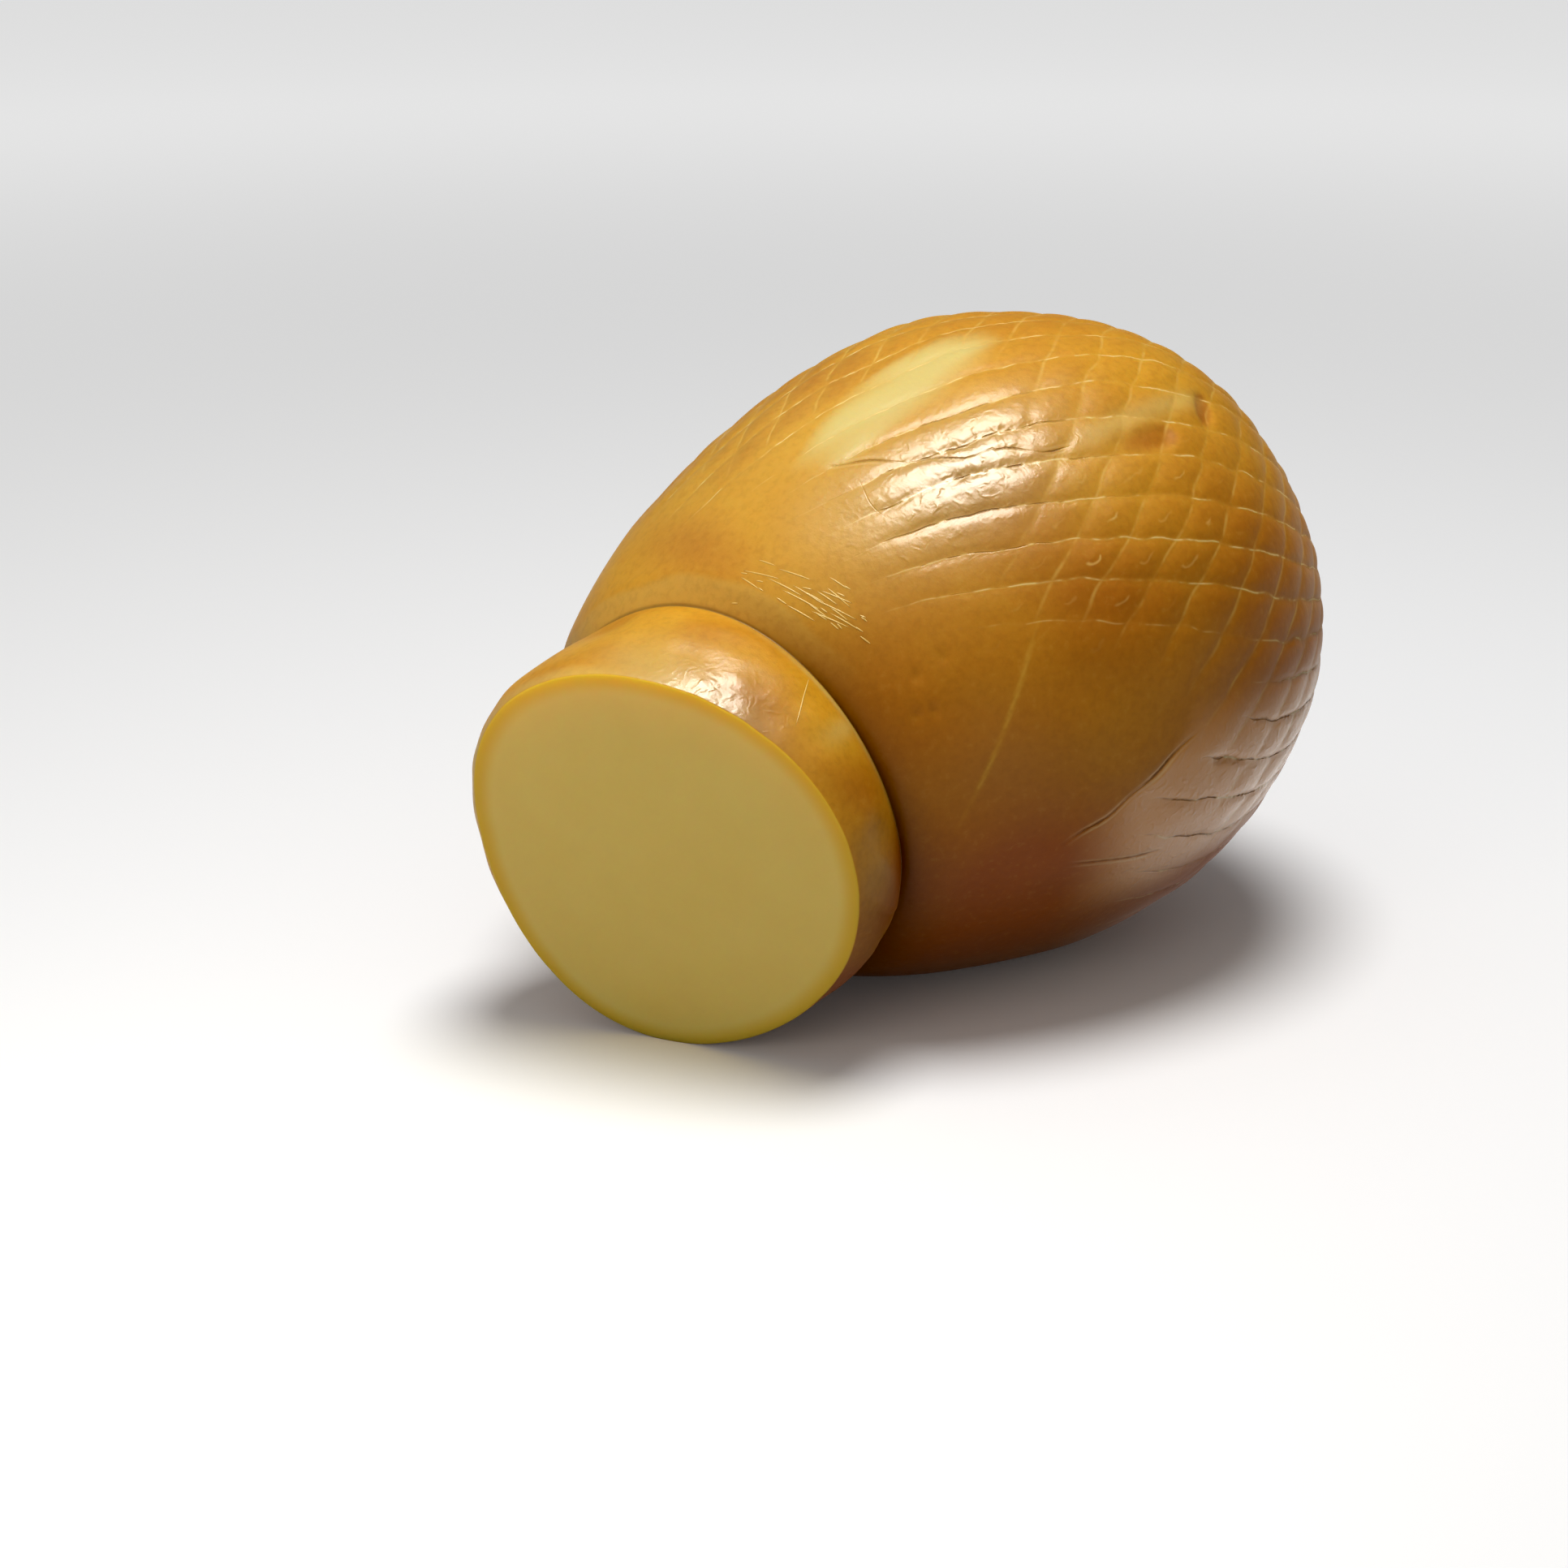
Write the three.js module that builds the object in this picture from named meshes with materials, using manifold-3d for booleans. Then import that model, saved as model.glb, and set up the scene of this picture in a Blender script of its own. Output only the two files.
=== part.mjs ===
// A smoked scamorza: a pear-shaped stretched-curd cheese lying on its belly, its head cut off at a slant.
// Millimetres, +Z up. The origin lies on the floor under the middle of the cheese.
// +X runs from the cut head to the fat end.

import * as THREE from "three";
import { mergeVertices } from "three/addons/utils/BufferGeometryUtils.js";
import Module from "manifold-3d";

// Body: an egg about an axis that dips towards the head, measured along the axis from the neck
const bodyRadius = 60;
const neckToWidest = 64.4;
const neckToEnd = 130;
const neckToNose = 30.8;
const nosePower = 1.71;
const endPower = 2.1;
const axisDip = 13.2;

// Head: a blunt bulb pressed against the shoulder, its middle measured from the neck
const headRadius = 37.9;
const headHalfLength = 28.6;
const headPower = 3.3;
const headBack = 13.2;
const headDrop = 1.4;
const headAside = 12.8;
const headTurn = 2;
const headDip = 17.2;

// Crease: the shoulder rolls in all round the head
const creaseDepth = 7;
const creaseWidth = 4.5;

// Cut: one flat slant face across the head, measured from the head's middle
const cutTurn = 32.6;
const cutDip = 11.8;
const cutOffset = 11.3;

// Net: the cheese hung in diamond meshes, whose strands sank in and left pillows between them
const netStrands = 38;
const netBar = 9.75;
const netTwist = 0.069;
const knotDistance = 83.7;
const knotAngle = 55.2;
const strandDepth = 0.8;

// Imprint: it starts near the fat end and fades out before the neck, sooner on the flank near the viewer
const netFirst = 22;
const netLast = 140;
const fadeIn = 16;
const fadeOut = 26;
const flankAngle = 105;
const flankSpread = 35;
const flankLoss = 32;

// Flat spot: the soft cheese sags this far where it lies on its belly and on the head's rim
const sag = 2.4;

// Place of the origin, measured level from the neck towards the fat end
const originAhead = 43.06;

// Fineness of the solid
const netPoints = 4 * netStrands;
const plainPoints = 2 * netStrands;
const endSteps = 4;
const neckSteps = 9;
const headSteps = 10;
const neckCrowding = 1.4;

const radians = THREE.MathUtils.degToRad;
const smoothstep = THREE.MathUtils.smoothstep;
const lerp = THREE.MathUtils.lerp;

// Half-width of a superellipse of unit size at a share of its length
function superellipse(share, power) {
  const used = Math.pow(Math.min(1, Math.abs(share)), power);
  return Math.pow(1 - used, 1 / power);
}

// Radius of the egg at a distance along its axis
function eggRadius(along) {
  const length = along < neckToWidest ? neckToWidest + neckToNose : neckToEnd - neckToWidest;
  const power = along < neckToWidest ? nosePower : endPower;
  return bodyRadius * superellipse((along - neckToWidest) / length, power);
}

// The egg's outline from the fat end to the nose, with the distance over the skin from the fat end
const outline = [];
const outlineSteps = 3000;
for (let step = 0; step <= outlineSteps; step++) {
  const share = (1 - Math.cos((Math.PI * step) / outlineSteps)) / 2;
  const along = lerp(neckToEnd, -neckToNose, share);
  const point = { along, radius: eggRadius(along), distance: 0 };
  const last = outline.at(-1);
  if (last) {
    point.distance = last.distance + Math.hypot(along - last.along, point.radius - last.radius);
  }
  outline.push(point);
}

// The outline's point at a distance over the skin, with the outward direction there
function ringAt(distance) {
  const index = outline.findIndex((point) => point.distance >= distance);
  const from = outline[Math.max(1, index) - 1];
  const to = outline[Math.max(1, index)];
  const run = to.distance - from.distance;
  const share = (distance - from.distance) / run;
  return {
    distance,
    along: lerp(from.along, to.along, share),
    radius: lerp(from.radius, to.radius, share),
    outward: (from.along - to.along) / run,
    forward: (to.radius - from.radius) / run,
  };
}

// Distance from a row of knots to the next: bars keep their length, so meshes lengthen where the girth shrinks
function knotStep(radius) {
  const halfWidth = (Math.PI * radius) / netStrands;
  return Math.sqrt(netBar ** 2 - halfWidth ** 2);
}

// How strongly the net pressed in, by distance from the fat end and angle from the top towards the viewer
function imprint(distance, angle) {
  const fromFlank = (angle - radians(flankAngle)) / radians(flankSpread);
  const last = netLast - flankLoss * Math.exp(-(fromFlank ** 2));
  const begun = smoothstep(distance, netFirst, netFirst + fadeIn);
  return begun * (1 - smoothstep(distance, last - fadeOut, last));
}

// Frame of an axis that runs from the head to the fat end: +Y along it, +Z to the upper side, +X to the viewer
function axisFrame(turn, dip) {
  const level = Math.cos(radians(dip));
  const along = new THREE.Vector3(
    level * Math.cos(radians(turn)),
    level * Math.sin(radians(turn)),
    Math.sin(radians(dip)),
  );
  const viewer = new THREE.Vector3(Math.sin(radians(turn)), -Math.cos(radians(turn)), 0);
  const top = new THREE.Vector3().crossVectors(viewer, along);
  return new THREE.Matrix4().makeBasis(viewer, along, top);
}
const bodyFrame = axisFrame(0, axisDip);
const headMiddle = new THREE.Vector3(headAside, -headBack, -headDrop).applyMatrix4(bodyFrame);
const headFrame = axisFrame(headTurn, headDip).setPosition(headMiddle);
const bodyToHead = headFrame.clone().invert().multiply(bodyFrame);
const headToBody = bodyToHead.clone().invert();

// Size of the bulb that passes through a point of the body's frame, where the head's own size is 1
function headSize(point) {
  const seen = point.clone().applyMatrix4(bodyToHead);
  const across = Math.hypot(seen.x, seen.z) / headRadius;
  const along = Math.abs(seen.y) / headHalfLength;
  return Math.pow(across ** headPower + along ** headPower, 1 / headPower);
}

// A point of the body's skin in the body's frame, sunk by a depth and rolled in most at the head's skin
function bodyPoint(distance, angle, depth) {
  const ring = ringAt(distance);
  const spot = new THREE.Vector3(Math.sin(angle), 0, Math.cos(angle));
  const egg = spot.clone().multiplyScalar(ring.radius).setY(ring.along);
  const gap = Math.max(0, headSize(egg) - 1) * headRadius;
  const rolled = creaseDepth * Math.exp(-gap / creaseWidth);
  const radius = Math.max(0, ring.radius - depth * ring.outward - rolled);
  return spot.multiplyScalar(radius).setY(ring.along - depth * ring.forward);
}

// Distance over the skin at which the body meets the head, at an angle from the top
function creaseDistance(angle) {
  let inside = netLast;
  while (headSize(bodyPoint(inside, angle, 0)) > 1) {
    inside += 1;
  }
  let outside = inside - 1;
  for (let halving = 0; halving < 20; halving++) {
    const middle = (inside + outside) / 2;
    if (headSize(bodyPoint(middle, angle, 0)) > 1) {
      outside = middle;
    } else {
      inside = middle;
    }
  }
  return outside;
}

// Depth of the skin below the pillows' tops: full on the two strands that cross at a knot, none in mid mesh
function netDepth(row, column) {
  const rising = Math.sin((Math.PI * (row + column)) / 4);
  const falling = Math.sin((Math.PI * (row - column)) / 4);
  return strandDepth * (1 - Math.sqrt(Math.abs(rising * falling)));
}

// Angle of a ring's first point: the net's columns wind slowly round the body
function ringTurn(distance) {
  return radians(knotAngle + netTwist * (distance - knotDistance));
}

// A ring of points, each made by a function of its angle and its column
function makeRing(count, turn, pointAt) {
  const columns = Array.from({ length: count }, (_, column) => column);
  return columns.map((column) => pointAt((2 * Math.PI * column) / count + turn, column));
}

// A ring of the net. There are two to a row of knots, counted from the known knot.
function netRing(distance, row) {
  return makeRing(netPoints, ringTurn(distance), (angle, column) => {
    const fromTop = Math.atan2(Math.sin(angle), Math.cos(angle));
    const depth = netDepth(row, column) * imprint(distance, fromTop);
    return { place: bodyPoint(distance, angle, depth), depth };
  });
}

// Distances of the net's rings either way from the known knot
const netDistances = [knotDistance];
while (netDistances[0] > netFirst) {
  netDistances.unshift(netDistances[0] - knotStep(ringAt(netDistances[0]).radius) / 2);
}
const rowsBefore = netDistances.length - 1;
while (netDistances.at(-1) < netLast) {
  netDistances.push(netDistances.at(-1) + knotStep(ringAt(netDistances.at(-1)).radius) / 2);
}
const netRings = netDistances.map((distance, index) => netRing(distance, index - rowsBefore));

// Plain rings from the fat end's pole to the net
const firstNet = netDistances[0];
const endRings = [];
for (let step = 1; step < endSteps; step++) {
  const distance = (firstNet * step) / endSteps;
  const pointAt = (angle) => ({ place: bodyPoint(distance, angle, 0), depth: 0 });
  endRings.push(makeRing(plainPoints, ringTurn(firstNet), pointAt));
}
const endPole = [{ place: bodyPoint(0, 0, 0), depth: 0 }];

// Plain rings from the net to the crease, closer together near the crease
const lastNet = netDistances.at(-1);
const neckTurn = ringTurn(lastNet);
const creases = makeRing(plainPoints, neckTurn, creaseDistance);
const neckRings = [];
for (let step = 1; step <= neckSteps; step++) {
  const share = 1 - Math.pow(1 - step / neckSteps, neckCrowding);
  const pointAt = (angle, column) => {
    const distance = lerp(lastNet, creases[column], share);
    return { place: bodyPoint(distance, angle, 0), depth: 0 };
  };
  neckRings.push(makeRing(plainPoints, neckTurn, pointAt));
}

// Rings of the head from the crease to its pole, along the head's own meridians
const headRings = [];
for (let step = 1; step < headSteps; step++) {
  const pointAt = (angle, column) => {
    const start = neckRings.at(-1)[column].place.clone().applyMatrix4(bodyToHead);
    const share = -Math.cos(Math.acos(-start.y / headHalfLength) * (1 - step / headSteps));
    const radius = headRadius * superellipse(share, headPower);
    const spin = Math.atan2(start.x, start.z);
    const seen = new THREE.Vector3(radius * Math.sin(spin), headHalfLength * share, radius * Math.cos(spin));
    return { place: seen.applyMatrix4(headToBody), depth: 0 };
  };
  headRings.push(makeRing(plainPoints, neckTurn, pointAt));
}
const headPole = [{ place: new THREE.Vector3(0, -headHalfLength, 0).applyMatrix4(headToBody), depth: 0 }];

const rings = [endPole, ...endRings, ...netRings, ...neckRings, ...headRings, headPole];

// Triangles between two rings. Four-sided patches fold along their deeper diagonal, where the strands lie.
function stitch(from, to, firstFrom, firstTo) {
  const triangles = [];
  let here = 0;
  let there = 0;
  while (here < from.length || there < to.length) {
    const a = here % from.length;
    const b = (here + 1) % from.length;
    const c = (there + 1) % to.length;
    const d = there % to.length;
    const ahead = (here + 1) / from.length - (there + 1) / to.length;
    const folds = from[b].depth + to[d].depth > from[a].depth + to[c].depth;
    if (ahead < 0 || (ahead === 0 && folds)) {
      triangles.push(...(from.length > 1 ? [firstFrom + a, firstTo + d, firstFrom + b] : []));
      here++;
    } else {
      triangles.push(...(to.length > 1 ? [firstFrom + a, firstTo + d, firstTo + c] : []));
      there++;
    }
  }
  return triangles;
}

// The closed skin of body and head
function makeSkin() {
  const places = rings.flat().flatMap((point) => point.place.toArray());
  const triangles = [];
  let first = 0;
  for (let index = 0; index + 1 < rings.length; index++) {
    const next = first + rings[index].length;
    triangles.push(...stitch(rings[index], rings[index + 1], first, next));
    first = next;
  }
  const geometry = new THREE.BufferGeometry();
  geometry.setAttribute("position", new THREE.Float32BufferAttribute(places, 3));
  geometry.setIndex(triangles);
  return geometry;
}

const wasm = await Module();
wasm.setup();

// A geometry as a solid, welded and without its normals and texture places
function solidOf(geometry) {
  const bare = geometry.clone();
  bare.deleteAttribute("normal");
  bare.deleteAttribute("uv");
  const welded = mergeVertices(bare, 1e-3);
  const mesh = new wasm.Mesh({
    numProp: 3,
    vertProperties: welded.getAttribute("position").array,
    triVerts: new Uint32Array(welded.index.array),
  });
  return new wasm.Manifold(mesh);
}

// A solid as a geometry
function geometryOf(solid) {
  const mesh = solid.getMesh();
  const geometry = new THREE.BufferGeometry();
  geometry.setAttribute("position", new THREE.BufferAttribute(mesh.vertProperties, mesh.numProp));
  geometry.setIndex(new THREE.BufferAttribute(mesh.triVerts, 1));
  geometry.computeVertexNormals();
  return geometry;
}

// The cut takes away everything in front of its plane, and the floor what sags
const blockSize = 6 * bodyRadius;
const cutFrame = axisFrame(cutTurn, cutDip).setPosition(headMiddle);
const cutBlock = new THREE.BoxGeometry(blockSize, blockSize, blockSize)
  .translate(0, -blockSize / 2 - cutOffset, 0)
  .applyMatrix4(cutFrame);
const bellies = outline.map(
  (point) => point.along * Math.sin(radians(axisDip)) - point.radius * Math.cos(radians(axisDip)),
);
const floor = Math.min(...bellies) + sag;
const floorBlock = new THREE.BoxGeometry(blockSize, blockSize, blockSize)
  .translate(0, 0, floor - blockSize / 2);

const cheese = solidOf(makeSkin().applyMatrix4(bodyFrame))
  .subtract(solidOf(cutBlock))
  .subtract(solidOf(floorBlock));

// Smoked rind: amber and faintly waxy
const smokedRind = new THREE.MeshStandardMaterial({ color: 0xb87a2c, roughness: 0.42, metalness: 0 });

const scamorza = new THREE.Mesh(geometryOf(cheese), smokedRind);
scamorza.name = "scamorza";
scamorza.geometry.translate(-originAhead, 0, -floor);

const part = new THREE.Group();
part.name = "smoked_scamorza";
part.add(scamorza);

export default part;
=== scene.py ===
"""Looks of a smoked scamorza, a pear-shaped stretched-curd cheese whose head is cut off at a slant.

The whole cheese is one closed skin, worked out as rings of points from the fat end over the net-marked body,
through the crease and over the head to the middle of the cut. Sizes are in millimetres and angles in degrees,
and the finished mesh is in metres. A place on the body is given by its distance over the skin from the fat
end and its angle from the top towards the viewer. A place on the head is given by its distance along the
head's axis from the head's middle and its angle from the top of the head towards the viewer.
"""

import math

import bpy
import numpy as np
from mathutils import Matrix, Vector


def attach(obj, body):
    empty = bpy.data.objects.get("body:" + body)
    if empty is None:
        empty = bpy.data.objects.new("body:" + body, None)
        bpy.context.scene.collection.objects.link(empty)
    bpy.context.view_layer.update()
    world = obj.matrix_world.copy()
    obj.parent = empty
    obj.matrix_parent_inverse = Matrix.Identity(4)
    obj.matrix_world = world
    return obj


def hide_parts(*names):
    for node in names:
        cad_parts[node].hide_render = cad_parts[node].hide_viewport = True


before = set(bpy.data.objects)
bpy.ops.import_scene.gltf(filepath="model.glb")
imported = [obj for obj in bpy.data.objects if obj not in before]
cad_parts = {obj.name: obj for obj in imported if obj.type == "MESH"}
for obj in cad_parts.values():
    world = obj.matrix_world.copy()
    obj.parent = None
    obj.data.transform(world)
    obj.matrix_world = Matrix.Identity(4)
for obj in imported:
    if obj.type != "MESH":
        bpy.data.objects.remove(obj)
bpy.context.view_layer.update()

METRES = 0.001

# Body: an egg about an axis that dips towards the head, measured along the axis from the neck
BODY_RADIUS = 60.0
NECK_TO_WIDEST = 64.4
NECK_TO_END = 130.0
NECK_TO_NOSE = 30.8
NOSE_POWER = 1.71
END_POWER = 2.1
AXIS_DIP = 13.2

# Head: a blunt bulb pressed against the shoulder, its middle measured from the neck
HEAD_RADIUS = 37.9
HEAD_HALF_LENGTH = 28.6
HEAD_POWER = 3.3
HEAD_BACK = 13.2
HEAD_DROP = 1.4
HEAD_ASIDE = 12.8
HEAD_TURN = 2.0
HEAD_DIP = 17.2

# Crease: the shoulder rolls in all round the head, with a narrow gap at its foot and a smooth collar on top
CREASE_DEPTH = 7.0
CREASE_WIDTH = 4.5
GAP_DEPTH = 4.0
GAP_WIDTH = 1.0
COLLAR_REACH = 5.2
COLLAR_SOFTNESS = 0.35

# Cut: one flat slant face across the head, its edge hardly rounded by the knife
CUT_TURN = 32.6
CUT_DIP = 11.8
CUT_OFFSET = 11.3
CUT_EDGE_RADIUS = 0.35

# Net: strands of the diamond meshes that the cheese hung in, counted round the girth and along the skin
LEVEL_STRANDS = 43
STEEP_STRANDS = 37
NET_MIDDLE = 90.0
LEVEL_FIRST = 1.70
LEVEL_PER_MM = 0.028
LEVEL_MORE_ASIDE = 0.034
STEEP_FIRST = 6.12
STEEP_PER_MM = 0.0786
STEEP_LESS_ASIDE = 0.0157
MESH_WIDTH = 7.4

# How far over the skin the net pressed in, from the fat end, and where round the body that changes
NET_START = (14, 34)
LEVEL_REACH = 148
LEVEL_LESS_ON_FLANK = 60
LEVEL_MORE_LOW_DOWN = 28
LEVEL_MORE_FAR = 12
LEVEL_LESS_UNDER = 32
LEVEL_FADE = 18
STEEP_REACH = 97
STEEP_MORE_NEAR = 31
STEEP_MORE_FAR = 52
STEEP_FADE = (-12, 4)
FLANK = (48, 88)
LOW_DOWN = (92, 104)
TOP_LINE = (-10, 6)
UNDERSIDE = (110, 160)
BLISTERED_SIDE = 53
BLISTERED_SPREAD = 21

# The soft cheese sags this far where it lies, and the origin is this far ahead of the neck
SAG = 2.4
ORIGIN_AHEAD = 43.06

# Rows and columns of the skin: closer together on the side that shows most detail
COLUMNS = 384
FINE_SIDE = 50.0
FINE_SPREAD = 95.0
FINE_SHARE = 1.15
FIRST_RING = 1.2
FINE_FROM = 42.0
NECK_FROM = 138.0
END_ROWS = 30
BODY_ROWS = 142
NECK_ROWS = 40
HEAD_ROWS = 26
EDGE_ROWS = 4
FACE_SHARES = (0.02, 0.05, 0.1, 0.18, 0.3, 0.45, 0.62, 0.8)

# Marks on the body, as places on its skin
PALE_PATCH = (115.0, 9.5)
PALE_PATCH_LENGTH = 25
PALE_PATCH_WIDTH = 8.2
PALE_STREAK = ((104.0, 38.6), (58.0, 36.6))
STREAK_WIDTH = 2.4
LONG_SCRATCH = ((116.0, 55.0), (148.0, 92.6))
SCRATCH_WIDTH = 0.42
LONG_CREASE = ((98.0, 92.4), (129.0, 104.6))
SHORT_CREASE = ((128.0, 109.2), (105.0, 115.5))
PITS = ((140.2, 61.0), (148.0, 69.0), (145.0, 69.5), (145.5, 62.0))

# At the fat end the colours are those this many degrees down the side, and they change over this stretch
END_SIDE = 64.0
END_CHANGE = (4, 52)

# Soft patches: a place, a half length and a half width
FILM_PATCH = ((118.5, 33.5), 21, 14)
CREASED_FLANK = ((88.0, 106.0), 30, 19)
BLISTER_PATCH = ((99.0, 57.0), 19, 10)

# Soft spots of colour: a strength and a soft patch
PALE_SPOTS = (
    (0.24, ((136.0, 24.0), 26, 22)),
    (0.2, ((140.0, 0.0), 36, 26)),
    (0.1, ((137.0, 84.0), 11, 13)),
)
TOP_BROWN_SPOTS = (
    (0.5, ((160.5, 4.0), 7.5, 17)),
    (0.25, ((80.0, 2.0), 34, 18)),
)
# Near the viewer these darken the side, partly as painted shade towards the neck
SIDE_BROWN_AND_SHADE_SPOTS = (
    (0.28, ((76.0, 78.0), 26, 14)),
    (0.12, ((143.0, 42.0), 12, 12)),
    (0.12, ((141.0, 102.0), 14, 14)),
    (0.22, ((141.0, 68.0), 25, 30)),
)

# Dents: a place, a lean, a length behind the place and beyond it, and a half width
BIG_DENT = ((82.2, 43.0), -4, 4.0, 9.0, 2.7)
SMALL_DENT = ((65.0, 39.9), 45, 5.0, 4.4, 2.1)

# Folds and creases: two ends, how plain it is, and how far it wanders
FOLDS = (
    (((133.2, 21.0), (136.6, 38.0)), 0.12, 1.2),
    (((135.5, 14.0), (124.2, 26.6)), 0.6, 0.35),
    (((127.0, 24.6), (109.5, 33.9)), 0.75, 0.35),
    (((114.5, 31.8), (99.5, 39.2)), 0.7, 0.3),
    (LONG_CREASE, 1.1, 0.2),
    (SHORT_CREASE, 0.8, 0.15),
)

# Relief of the body: the meshes stand up as pillows, strands and folds are sunk
PILLOW_HEIGHT = 0.4
PILLOW_HEIGHT_BY_NECK = 0.14
PILLOW_MORE_FAR = 0.2
PILLOW_HEIGHT_IN_FILM = 0.48
PILLOW_CHANGE = (100, 118)
GROOVE_WIDTH = 0.55
GROOVE_DEPTH = 0.06
GROOVE_MORE_IN_FILM = 0.16
GROOVE_MORE_ON_FLANK = 0.25
WRINKLE_HEIGHT = 0.05
BLISTER_DOWN = 0.45
BLISTER_OVER = 0.5
BLISTER_LENGTH = 0.95
BLISTER_WIDTH = 0.6
BLISTER_HEIGHT = 0.2
BROAD_SWELL = 0.26
SMALL_SWELL = 0.06
FOLD_DEPTH = 0.42
FOLD_WIDTH = 0.6
BIG_DENT_DEPTH = 0.65
SMALL_DENT_DEPTH = 0.7
PIT_DEPTH = 0.3
PIT_SIZE = (0.8, 1.2)
HIGHEST = 0.35

# Fine scuffs beside the collar, on the shoulder near the viewer, and one on the head
SCUFFS = 34
SCUFF_FROM = (160.5, 20.0)
SCUFF_TO = (150.0, 47.0)
SCUFF_WIDTH = 0.26
SCUFF_LIFT = 0.09


def smoothstep(value, low, high):
    """Rises smoothly from 0 at low to 1 at high."""
    share = np.clip((value - low) / (high - low), 0, 1)
    return share * share * (3 - 2 * share)


def blend(start, end, share):
    """From start to end by a share."""
    return start + (end - start) * share


def superellipse(share, power):
    """Half-width of a superellipse of unit size: one minus share to the power, to the inverse power."""
    used = np.clip(np.abs(share), 0, 1) ** power
    return (1 - used) ** (1 / power)


def axis_frame(turn, dip):
    """Columns: towards the viewer, along an axis turned and raised by these angles, and to its upper side."""
    level = math.cos(math.radians(dip))
    along = np.array([
        level * math.cos(math.radians(turn)),
        level * math.sin(math.radians(turn)),
        math.sin(math.radians(dip)),
    ])
    viewer = np.array([math.sin(math.radians(turn)), -math.cos(math.radians(turn)), 0.0])
    return np.stack([viewer, along, np.cross(viewer, along)], axis=1)


def unit(vectors):
    """Vectors of length one."""
    return vectors / np.linalg.norm(vectors, axis=-1, keepdims=True)


# The egg's outline from the fat end to the nose, with its distance over the skin and its outward direction
outline_share = (1 - np.cos(np.linspace(0, math.pi, 4001))) / 2
outline_along = NECK_TO_END - outline_share * (NECK_TO_END + NECK_TO_NOSE)
outline_radius = BODY_RADIUS * np.where(
    outline_along < NECK_TO_WIDEST,
    superellipse((outline_along - NECK_TO_WIDEST) / (NECK_TO_WIDEST + NECK_TO_NOSE), NOSE_POWER),
    superellipse((outline_along - NECK_TO_WIDEST) / (NECK_TO_END - NECK_TO_WIDEST), END_POWER),
)
outline_steps = np.hypot(np.diff(outline_along), np.diff(outline_radius))
outline_distance = np.concatenate([[0], np.cumsum(outline_steps)])
outline_outward = -np.gradient(outline_along, outline_distance)
outline_forward = np.gradient(outline_radius, outline_distance)
SKIN_LENGTH = outline_distance[-1]

body_frame = axis_frame(0, AXIS_DIP)
head_frame = axis_frame(HEAD_TURN, HEAD_DIP)
cut_frame = axis_frame(CUT_TURN, CUT_DIP)
head_middle = body_frame @ np.array([HEAD_ASIDE, -HEAD_BACK, -HEAD_DROP])
dip_sine = math.sin(math.radians(AXIS_DIP))
dip_cosine = math.cos(math.radians(AXIS_DIP))
FLOOR = (outline_along * dip_sine - outline_radius * dip_cosine).min() + SAG
NECK = np.array([-ORIGIN_AHEAD, 0.0, -FLOOR])


def waves(points, length, seed, count=16):
    """Smooth unevenness of about unit size: a sum of sine waves of about one length, in seeded directions."""
    draw = np.random.default_rng(seed)
    directions = unit(draw.normal(size=(count, 3)))
    lengths = length * draw.uniform(0.75, 1.35, size=count)
    phases = draw.uniform(0, 2 * math.pi, size=count)
    turns = points @ (directions.T * (2 * math.pi / lengths)) + phases
    return np.sin(turns).sum(axis=-1) * math.sqrt(2 / count)


def ring_radius(distance):
    """Radius of the egg at a distance over the skin."""
    return np.interp(distance, outline_distance, outline_radius)


def strand_counts(distance, angle, egg):
    """Two counts of strands, one for each family: a strand of the net lies wherever a count is whole.

    Each count grows evenly round the girth and along the skin, and leans more at the sides than on top.
    """
    aside = np.sin(np.radians(angle)) ** 2
    ahead = distance - NET_MIDDLE
    level = LEVEL_FIRST + angle * LEVEL_STRANDS / 360 + ahead * (LEVEL_PER_MM + LEVEL_MORE_ASIDE * aside)
    steep = STEEP_FIRST - angle * STEEP_STRANDS / 360 + ahead * (STEEP_PER_MM - STEEP_LESS_ASIDE * aside)
    level += 0.035 * waves(egg, 22, seed=3) + 0.022 * waves(egg, 7, seed=14)
    steep += 0.035 * waves(egg, 22, seed=4) + 0.026 * waves(egg, 7, seed=15)
    return level, steep


def far_shoulder(angle):
    """1 from the top line to the side away from the viewer, and 0 on the near side and under the belly."""
    return smoothstep(-angle, *TOP_LINE) * (1 - smoothstep(-angle, *UNDERSIDE))


def level_imprint(distance, angle):
    """How strongly the strands that run along the body pressed in: less far up the flank near the viewer."""
    reach = LEVEL_REACH - LEVEL_LESS_ON_FLANK * smoothstep(angle, *FLANK)
    reach = reach + LEVEL_MORE_LOW_DOWN * smoothstep(angle, *LOW_DOWN) + LEVEL_MORE_FAR * far_shoulder(angle)
    reach = reach - LEVEL_LESS_UNDER * smoothstep(-angle, *UNDERSIDE)
    return smoothstep(distance, *NET_START) * (1 - smoothstep(distance, reach - LEVEL_FADE, reach))


def steep_imprint(distance, angle):
    """How strongly the strands that run across the body pressed in: furthest up on the far shoulder."""
    reach = STEEP_REACH + STEEP_MORE_NEAR * np.exp(-(((angle - BLISTERED_SIDE) / BLISTERED_SPREAD) ** 2))
    reach = reach + STEEP_MORE_FAR * far_shoulder(angle)
    fade_from, fade_to = STEEP_FADE
    return smoothstep(distance, *NET_START) * (1 - smoothstep(distance, reach + fade_from, reach + fade_to))


def on_skin(distance, angle, place):
    """Millimetres along the skin and across it from a place on the body."""
    ahead = distance - place[0]
    turned = (angle - place[1] + 180) % 360 - 180
    aside = np.radians(turned) * ring_radius(distance)
    return ahead, aside


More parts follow.
